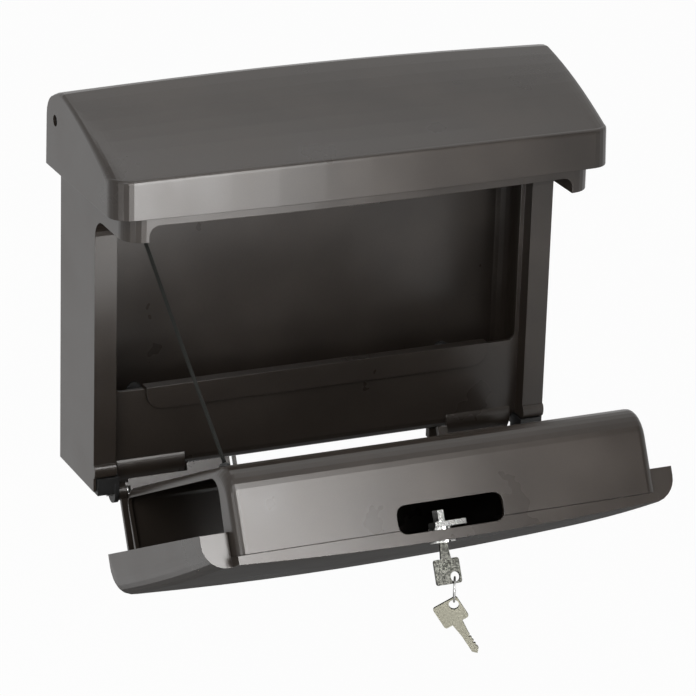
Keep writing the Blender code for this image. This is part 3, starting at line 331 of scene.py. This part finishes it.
METAL_KINDS = {
    "chrome": ("chrome", 0.14, 0.72),
    "worn_chrome": ("worn", 0.22, 0.22),
    "nickel_silver": ("nickel", 0.36, 0.88),
    "zinc_steel": ("steel", 0.32, 0.72),
}
METAL_GRAIN_SCALE = 4000.0
METAL_BUMP = 0.000004
METAL_WEAR = 0.8
METAL_RUBBED_GAIN = 1.3
METAL_DULLING = 0.2
POLISHED_SHARE = 0.8        # roughness of the polished specks, as a share of the finish's own
MATT_SHARE = 1.3            # and of the matt ones
TARNISH_NOISE = (700.0, 3.0, 0.5)
TARNISH_RANGE = (0.38, 0.62)


def metal(name, colour, roughness, contrast):
    """Plated metal with fine polishing marks and a faint tarnish."""
    material, tree, shader, place = new_finish(name)
    grains = place_group(tree, grain_group(), place, Scale=METAL_GRAIN_SCALE)
    wear = place_group(tree, wear_group(), place, Amount=METAL_WEAR)
    scratches = wear.outputs["Scratches"]
    tarnish = add_ramp(tree, add_noise(tree, place, *TARNISH_NOISE), *TARNISH_RANGE)
    base = add_mix(tree, tarnish, tint(colour, contrast), colour)
    tree.links.new(add_mix(tree, scratches, base, tint(colour, METAL_RUBBED_GAIN)),
                   shader.inputs["Base Color"])
    rough = add_ramp(tree, grains.outputs["Speckle"], 0.0, 1.0,
                     roughness * POLISHED_SHARE, roughness * MATT_SHARE)
    dulled = add_math(tree, "MULTIPLY", scratches, METAL_DULLING)
    tree.links.new(add_math(tree, "ADD", rough, dulled), shader.inputs["Roughness"])
    shader.inputs["Metallic"].default_value = 1.0
    add_bump(tree, shader, grains.outputs["Height"], METAL_BUMP)
    return material


# Rubber

RUBBER_GRAIN_SCALE = 2500.0
RUBBER_BUMP = 0.00003
RUBBER_WEAR = 0.5
RUBBER_LIGHT_GAIN = 1.6
RUBBER_DUST_SHARE = 0.2
RUBBER_DUST_COLOUR = (0.16, 0.15, 0.14)
RUBBER_ROUGHNESS = (0.72, 0.9)


def rubber(name, colour):
    """Matt moulded rubber with a little grey dust."""
    material, tree, shader, place = new_finish(name)
    grains = place_group(tree, grain_group(), place, Scale=RUBBER_GRAIN_SCALE)
    wear = place_group(tree, wear_group(), place, Amount=RUBBER_WEAR)
    base = add_mix(tree, grains.outputs["Blotch"], colour, tint(colour, RUBBER_LIGHT_GAIN))
    dust = add_math(tree, "MULTIPLY", wear.outputs["Dust"], RUBBER_DUST_SHARE)
    tree.links.new(add_mix(tree, dust, base, RUBBER_DUST_COLOUR), shader.inputs["Base Color"])
    tree.links.new(add_ramp(tree, grains.outputs["Speckle"], 0.0, 1.0, *RUBBER_ROUGHNESS),
                   shader.inputs["Roughness"])
    add_bump(tree, shader, grains.outputs["Height"], RUBBER_BUMP)
    return material


# Braid of the cord

BRAID_TURN = math.radians(45)
BRAID_WAVE_SCALE = 2.2
BRAID_DISTORTION = 0.3
# colour in the grooves between strands (painted shade) and on their crowns (painted light), as shares
# of the cord's colour
BRAID_GROOVE_SHADE_GAIN = 0.5
BRAID_CROWN_LIGHT_GAIN = 7.0
BRAID_BUMP = 0.0004
BRAID_ROUGHNESS = 0.9
BRAID_SPECULAR = 0.15
FIBRE_NOISE = (5000.0, 2.0, 0.5)
FIBRE_SHARE = 0.2
FIBRE_COLOUR = (0.03, 0.03, 0.027)


def cord_braid(name, colour):
    """Braid of the cord: crossing strands from the tube's own map, with painted shade in the grooves
    between the strands and painted light on their crowns.
    """
    material, tree, shader, place = new_finish(name)
    uv = tree.nodes.new("ShaderNodeUVMap")
    uv.uv_map = "braid"
    waves = []
    for turn in (BRAID_TURN, -BRAID_TURN):
        mapping = tree.nodes.new("ShaderNodeMapping")
        mapping.inputs["Rotation"].default_value = (0.0, 0.0, turn)
        tree.links.new(uv.outputs["UV"], mapping.inputs["Vector"])
        wave = tree.nodes.new("ShaderNodeTexWave")
        wave.inputs["Scale"].default_value = BRAID_WAVE_SCALE
        wave.inputs["Distortion"].default_value = BRAID_DISTORTION
        tree.links.new(mapping.outputs["Vector"], wave.inputs["Vector"])
        waves.append(wave.outputs["Fac"])
    height = add_math(tree, "MAXIMUM", waves[0], waves[1])
    # painted shade and light: the colour follows the bump's height, dark in the grooves and light on
    # the crowns
    base = add_mix(tree, height, tint(colour, BRAID_GROOVE_SHADE_GAIN), tint(colour, BRAID_CROWN_LIGHT_GAIN))
    fibre = add_math(tree, "MULTIPLY", add_noise(tree, place, *FIBRE_NOISE), FIBRE_SHARE)
    tree.links.new(add_mix(tree, fibre, base, FIBRE_COLOUR), shader.inputs["Base Color"])
    shader.inputs["Roughness"].default_value = BRAID_ROUGHNESS
    shader.inputs["Specular IOR Level"].default_value = BRAID_SPECULAR
    add_bump(tree, shader, height, BRAID_BUMP)
    return material


# Finishes by name

finishes = {}


def make_finish(name):
    colours = bpy.context.scene.mailbox_colours
    sizes = bpy.context.scene.mailbox_sizes
    if name in METAL_KINDS:
        colour, roughness, contrast = METAL_KINDS[name]
        return metal(name, tuple(getattr(colours, colour)), roughness, contrast)
    if name == "painted_housing":
        return satin_plastic("satin_brown_plastic", tuple(colours.plastic), SHELL_ROUGHNESS,
                             sizes.grain_size, sizes.edge_radius)
    if name == "black_plastic":
        return satin_plastic(name, tuple(colours.black), BLACK_ROUGHNESS, BLACK_GRAIN, BLACK_EDGE)
    if name == "black_rubber":
        return rubber(name, tuple(colours.black))
    return cord_braid("braided_cord", tuple(colours.cord))


def finish(name):
    """A finish, made the first time that a piece asks for it."""
    if name not in finishes:
        finishes[name] = make_finish(name)
    return finishes[name]


def dress(nodes, name):
    """The CAD nodes keep their own meshes and get a finish."""
    for node in nodes:
        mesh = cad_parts[node].data
        mesh.materials.clear()
        mesh.materials.append(finish(name))


# Stay cord, from the eye in the hood to the button on the door

CORD_TOP = Vector((-0.1680, -0.1150, 0.0955))
CORD_LOW = Vector((-0.1538, -0.246081, -0.037138))
CORD_START = 0.0048         # it leaves the eye this far from the eye's middle
CORD_SAG = 0.0030
CORD_POINTS = 36
CORD_SIDES = 16
BRAID_AROUND = 4.0          # the map's run once round the cord
BRAID_ALONG = 1.3           # and along it for each diameter


def cord_route():
    """Points of the stay cord, straight from its eye and with a slight sag."""
    start = CORD_TOP + (CORD_LOW - CORD_TOP).normalized() * CORD_START
    points = []
    for i in range(CORD_POINTS):
        t = i / (CORD_POINTS - 1)
        sag = CORD_SAG * math.sin(math.pi * t) * (1 - t)
        points.append(start.lerp(CORD_LOW, t) + Vector((0.0, sag, 0.0)))
    return points


def cord_mesh(points, along, diameter):
    """A closed tube along the points, with a map for its braid."""
    bm = bmesh.new()
    uv = bm.loops.layers.uv.new("braid")
    rings = []
    for i, point in enumerate(points):
        ahead = points[min(i + 1, len(points) - 1)] - points[max(i - 1, 0)]
        turn = ahead.to_track_quat("Z", "Y").to_matrix().to_4x4()
        made = bmesh.ops.create_circle(bm, cap_ends=False, segments=CORD_SIDES, radius=diameter / 2,
                                       matrix=Matrix.Translation(point) @ turn)
        rings.append(made["verts"])
    for i in range(len(rings) - 1):
        for k in range(CORD_SIDES):
            j = (k + 1) % CORD_SIDES
            face = bm.faces.new((rings[i][k], rings[i][j], rings[i + 1][j], rings[i + 1][k]))
            face.smooth = True
            spots = ((k, i), (k + 1, i), (k + 1, i + 1), (k, i + 1))
            for loop, (across, step) in zip(face.loops, spots):
                loop[uv].uv = (across / CORD_SIDES * BRAID_AROUND, along[step] / diameter * BRAID_ALONG)
    bm.faces.new(list(reversed(rings[0])))
    bm.faces.new(rings[-1])
    bmesh.ops.recalc_face_normals(bm, faces=bm.faces)
    mesh = bpy.data.meshes.new("stay_cord")
    bm.to_mesh(mesh)
    bm.free()
    return mesh


class MAILBOX_OT_stay_cord(bpy.types.Operator):
    """Braided cord that stays the open door"""

    bl_idname = "mailbox.stay_cord"
    bl_label = "Stay cord"

    def execute(self, context):
        diameter = context.scene.mailbox_sizes.cord_diameter
        points = cord_route()
        along = [0.0]
        for a, b in zip(points, points[1:]):
            along.append(along[-1] + (b - a).length)
        mesh = cord_mesh(points, along, diameter)
        mesh.materials.append(finish("cord_black"))
        piece = bpy.data.objects.new("stay_cord", mesh)
        context.scene.collection.objects.link(piece)
        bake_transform(piece)
        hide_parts("door_cord")
        return {"FINISHED"}


# Finishes of the CAD pieces

SHELL_NODES = ("housing", "lid", "door_shell", "newspaper_tube", "letter_guard", "letter_chute")
BLACK_NODES = ("door_bearing_left", "door_bearing_right", "lid_pin_left", "lid_pin_right",
               "cord_button", "cord_eye")
RUBBER_NODES = ("lid_bumper_left", "lid_bumper_right", "hole_plug_lower_left",
                "hole_plug_lower_right", "hole_plug_upper_left", "hole_plug_upper_right",
                "lock_gasket")
STEEL_NODES = ("door_pin_left", "door_pin_right", "lock_nut", "lock_catch", "catch_screw_left",
               "catch_screw_right", "tube_screw_1", "tube_screw_2", "tube_screw_3", "tube_screw_4",
               "key_ring")
LOCK_NODES = ("lock_body", "lock_plug", "lock_cam", "cam_nut")


class MAILBOX_OT_shells(bpy.types.Operator):
    """Satin brown plastic on the housing, lid, door, newspaper tube, guard and chute"""

    bl_idname = "mailbox.shells"
    bl_label = "Brown shells"

    def execute(self, context):
        dress(SHELL_NODES, "painted_housing")
        return {"FINISHED"}


class MAILBOX_OT_black_pieces(bpy.types.Operator):
    """Black plastic on the bearings, lid pins and cord ends"""

    bl_idname = "mailbox.black_pieces"
    bl_label = "Black pieces"

    def execute(self, context):
        dress(BLACK_NODES, "black_plastic")
        return {"FINISHED"}


class MAILBOX_OT_rubber_pieces(bpy.types.Operator):
    """Rubber on the bumpers, hole plugs and gasket"""

    bl_idname = "mailbox.rubber_pieces"
    bl_label = "Rubber pieces"

    def execute(self, context):
        dress(RUBBER_NODES, "black_rubber")
        return {"FINISHED"}


class MAILBOX_OT_steel_pieces(bpy.types.Operator):
    """Zinc plate on the screws, hinge pins, nut, catch and key ring"""

    bl_idname = "mailbox.steel_pieces"
    bl_label = "Steel pieces"

    def execute(self, context):
        dress(STEEL_NODES, "zinc_steel")
        return {"FINISHED"}


class MAILBOX_OT_cam_lock(bpy.types.Operator):
    """Chrome on the lock's body, plug, cam and cam nut"""

    bl_idname = "mailbox.cam_lock"
    bl_label = "Cam lock"

    def execute(self, context):
        dress(LOCK_NODES, "chrome")
        return {"FINISHED"}


class MAILBOX_OT_keys(bpy.types.Operator):
    """Worn chrome on the key in the lock and nickel silver on the spare one"""

    bl_idname = "mailbox.keys"
    bl_label = "Keys"

    def execute(self, context):
        dress(("key",), "worn_chrome")
        dress(("spare_key",), "nickel_silver")
        return {"FINISHED"}


# Studio

CAMERA_PLACE = Vector((-1.12804, -2.58934, 1.03084))
CAMERA_AXES = ((0.91420803, -0.40417945, 0.029371), (0.12051058, 0.34034764, 0.93254527),
               (-0.38691198, -0.84900086, 0.35985644))
CAMERA_LENS_PX = 3877.475
CAMERA_REACH = 30.0
SENSOR_WIDTH = 36.0         # in millimetres, as the lens
FRAME_PX = 696.0
WHITE = (1.0, 1.0, 1.0, 1.0)
FLOOR_HALF = 6.0
FLOOR_COLOUR = (0.92, 0.92, 0.91, 1.0)
FLOOR_ROUGHNESS = 0.8
FLOOR_WHITE_SHARE = 0.96    # the rest of the floor takes light and shadow
KEY_LAMP = {"place": (-0.9, -1.1, 0.75), "target": (-0.1, -0.1, 0.0), "size": (0.7, 0.7)}
TOP_LAMP = {"place": (0.2, 0.3, 1.5), "target": (0.0, -0.1, 0.0), "size": (1.4, 0.8)}
FRONT_CARD = {"place": (0.07, -1.1, 0.26), "size": (0.54, 1.5), "turn_deg": (90, 0, 0)}
SIDE_CARD = {"place": (-0.95, -0.85, -0.1), "size": (0.16, 1.2), "turn_deg": (90, 0, -48)}
RIGHT_FLAG = {"place": (0.95, -1.12, 0.55), "size": (1.1, 1.0), "turn_deg": (90, 0, 0)}
RIGHT_FLAG_GREY = 0.08
FLOOR_FLAG_PLACE = (0.45, 0.30)
FLOOR_FLAG_LIFT = 0.01
FLOOR_FLAG_SIZE = (1.3, 1.2)
FLOOR_FLAG_GREY = 0.15
CARD_EDGE_SHARE = 0.5       # a card's light starts at its edge, as a share of its length
CARD_FULL_SHARE = 0.18      # and is full from here to its middle


def link_new(name, data):
    item = bpy.data.objects.new(name, data)
    bpy.context.scene.collection.objects.link(item)
    return item


def grid_mesh(name, half_x, half_y, height):
    """A flat sheet round the origin, at a height."""
    bm = bmesh.new()
    bmesh.ops.create_grid(bm, x_segments=1, y_segments=1, size=1.0)
    bmesh.ops.scale(bm, vec=(half_x, half_y, 1.0), verts=bm.verts)
    bmesh.ops.translate(bm, vec=(0.0, 0.0, height), verts=bm.verts)
    mesh = bpy.data.meshes.new(name)
    bm.to_mesh(mesh)
    bm.free()
    return mesh


def add_lamp(name, power, place, target, size):
    lamp = bpy.data.lights.new(name, "AREA")
    lamp.energy = power
    lamp.shape = "RECTANGLE"
    lamp.size = size[0]
    lamp.size_y = size[1]
    item = link_new(name, lamp)
    item.location = place
    item.rotation_euler = (Vector(target) - Vector(place)).to_track_quat("-Z", "Y").to_euler()


def add_card(name, place, size, strength=0.0, rest=0.0, turn_deg=(0, 0, 0)):
    """A studio card that only reflections see, with soft borders round its bright middle."""
    mesh = grid_mesh(name, size[0] / 2, size[1] / 2, 0.0)
    material, tree, _, where = new_finish(name)
    glow = tree.nodes.new("ShaderNodeEmission")
    parts = tree.nodes.new("ShaderNodeSeparateXYZ")
    tree.links.new(where, parts.inputs["Vector"])
    falls = []
    for axis, length in zip("XY", size):
        away = add_math(tree, "ABSOLUTE", parts.outputs[axis], 0.0)
        ramp = add_ramp(tree, away, length * CARD_EDGE_SHARE, length * CARD_FULL_SHARE)
        ramp.node.interpolation_type = "SMOOTHSTEP"
        falls.append(ramp)
    middle = add_math(tree, "MULTIPLY", add_math(tree, "MULTIPLY", falls[0], falls[1]), strength)
    tree.links.new(add_math(tree, "ADD", middle, rest), glow.inputs["Strength"])
    tree.links.new(glow.outputs["Emission"], tree.nodes["Material Output"].inputs["Surface"])
    mesh.materials.append(material)
    card = link_new(name, mesh)
    card.location = place
    card.rotation_euler = tuple(math.radians(angle) for angle in turn_deg)
    card.visible_camera = False
    card.visible_diffuse = False
    card.visible_shadow = False


def seen_mask(tree):
    """One for the rays that show the background: camera, glossy and transmission rays."""
    path = tree.nodes.new("ShaderNodeLightPath")
    seen = add_math(tree, "MAXIMUM", path.outputs["Is Camera Ray"], path.outputs["Is Glossy Ray"])
    return add_math(tree, "MAXIMUM", seen, path.outputs["Is Transmission Ray"])


def add_camera(scene):
    """The camera at the photograph's viewing angle."""
    camera = bpy.data.cameras.new("camera")
    camera.sensor_width = SENSOR_WIDTH
    camera.lens = CAMERA_LENS_PX * SENSOR_WIDTH / FRAME_PX
    camera.clip_end = CAMERA_REACH
    eye = link_new("camera", camera)
    turn = Matrix(CAMERA_AXES).transposed().to_4x4()
    eye.matrix_world = Matrix.Translation(CAMERA_PLACE) @ turn
    scene.camera = eye


def add_surroundings(scene, fill):
    """A world that looks white and lights the object evenly."""
    world = bpy.data.worlds.new("studio")
    world.use_nodes = True
    tree = world.node_tree
    even = tree.nodes["Background"]
    even.inputs["Color"].default_value = WHITE
    even.inputs["Strength"].default_value = fill
    white = tree.nodes.new("ShaderNodeBackground")
    white.inputs["Color"].default_value = WHITE
    mix = tree.nodes.new("ShaderNodeMixShader")
    tree.links.new(seen_mask(tree), mix.inputs["Fac"])
    tree.links.new(even.outputs["Background"], mix.inputs[1])
    tree.links.new(white.outputs["Background"], mix.inputs[2])
    tree.links.new(mix.outputs["Shader"], tree.nodes["World Output"].inputs["Surface"])
    scene.world = world


def add_floor(height):
    """A pale floor that looks white and keeps a faint shadow."""
    mesh = grid_mesh("floor", FLOOR_HALF, FLOOR_HALF, height)
    material, tree, shader, _ = new_finish("pale_floor")
    shader.inputs["Base Color"].default_value = FLOOR_COLOUR
    shader.inputs["Roughness"].default_value = FLOOR_ROUGHNESS
    glow = tree.nodes.new("ShaderNodeEmission")
    glow.inputs["Color"].default_value = WHITE
    mix = tree.nodes.new("ShaderNodeMixShader")
    tree.links.new(add_math(tree, "MULTIPLY", seen_mask(tree), FLOOR_WHITE_SHARE), mix.inputs["Fac"])
    tree.links.new(shader.outputs["BSDF"], mix.inputs[1])
    tree.links.new(glow.outputs["Emission"], mix.inputs[2])
    tree.links.new(mix.outputs["Shader"], tree.nodes["Material Output"].inputs["Surface"])
    mesh.materials.append(material)
    link_new("floor", mesh)


class MAILBOX_OT_studio(bpy.types.Operator):
    """Camera, lamps, white surroundings and pale floor"""

    bl_idname = "mailbox.studio"
    bl_label = "Studio"

    def execute(self, context):
        scene = context.scene
        settings = scene.mailbox_studio
        scene.view_settings.view_transform = "Standard"
        floor_height = cad_low[2] - settings.floor_drop
        add_camera(scene)
        add_surroundings(scene, settings.fill)
        add_floor(floor_height)
        add_lamp("key_lamp", settings.key, **KEY_LAMP)
        add_lamp("top_lamp", settings.top, **TOP_LAMP)
        add_card("front_softbox", strength=settings.front, **FRONT_CARD)
        add_card("side_strip", strength=settings.strip, **SIDE_CARD)
        add_card("floor_flag", (*FLOOR_FLAG_PLACE, floor_height + FLOOR_FLAG_LIFT), FLOOR_FLAG_SIZE,
                 rest=FLOOR_FLAG_GREY)
        add_card("right_flag", rest=RIGHT_FLAG_GREY, **RIGHT_FLAG)
        return {"FINISHED"}


class MAILBOX_PT_pieces(bpy.types.Panel):
    """Pieces and finishes of the mailbox"""

    bl_idname = "MAILBOX_PT_pieces"
    bl_label = "Mailbox"
    bl_space_type = "VIEW_3D"
    bl_region_type = "UI"
    bl_category = "Mailbox"

    def draw(self, context):
        scene = context.scene
        for group in (scene.mailbox_sizes, scene.mailbox_colours, scene.mailbox_studio):
            for label in group.bl_rna.properties.keys():
                if label not in ("name", "rna_type"):
                    self.layout.prop(group, label)
        for step in STEPS:
            self.layout.operator(step.bl_idname)


STEPS = (MAILBOX_OT_studio, MAILBOX_OT_stay_cord, MAILBOX_OT_shells, MAILBOX_OT_black_pieces,
         MAILBOX_OT_rubber_pieces, MAILBOX_OT_steel_pieces, MAILBOX_OT_cam_lock, MAILBOX_OT_keys)
GROUPS = (MailboxSizes, MailboxColours, StudioSettings)


def register():
    for item in GROUPS + STEPS + (MAILBOX_PT_pieces,):
        bpy.utils.register_class(item)
    bpy.types.Scene.mailbox_sizes = bpy.props.PointerProperty(type=MailboxSizes)
    bpy.types.Scene.mailbox_colours = bpy.props.PointerProperty(type=MailboxColours)
    bpy.types.Scene.mailbox_studio = bpy.props.PointerProperty(type=StudioSettings)


def unregister():
    del bpy.types.Scene.mailbox_sizes
    del bpy.types.Scene.mailbox_colours
    del bpy.types.Scene.mailbox_studio
    for item in reversed(GROUPS + STEPS + (MAILBOX_PT_pieces,)):
        bpy.utils.unregister_class(item)


def main():
    register()
    bpy.ops.mailbox.studio()
    bpy.ops.mailbox.stay_cord()
    bpy.ops.mailbox.shells()
    bpy.ops.mailbox.black_pieces()
    bpy.ops.mailbox.rubber_pieces()
    bpy.ops.mailbox.steel_pieces()
    bpy.ops.mailbox.cam_lock()
    bpy.ops.mailbox.keys()


if __name__ == "__main__":
    main()
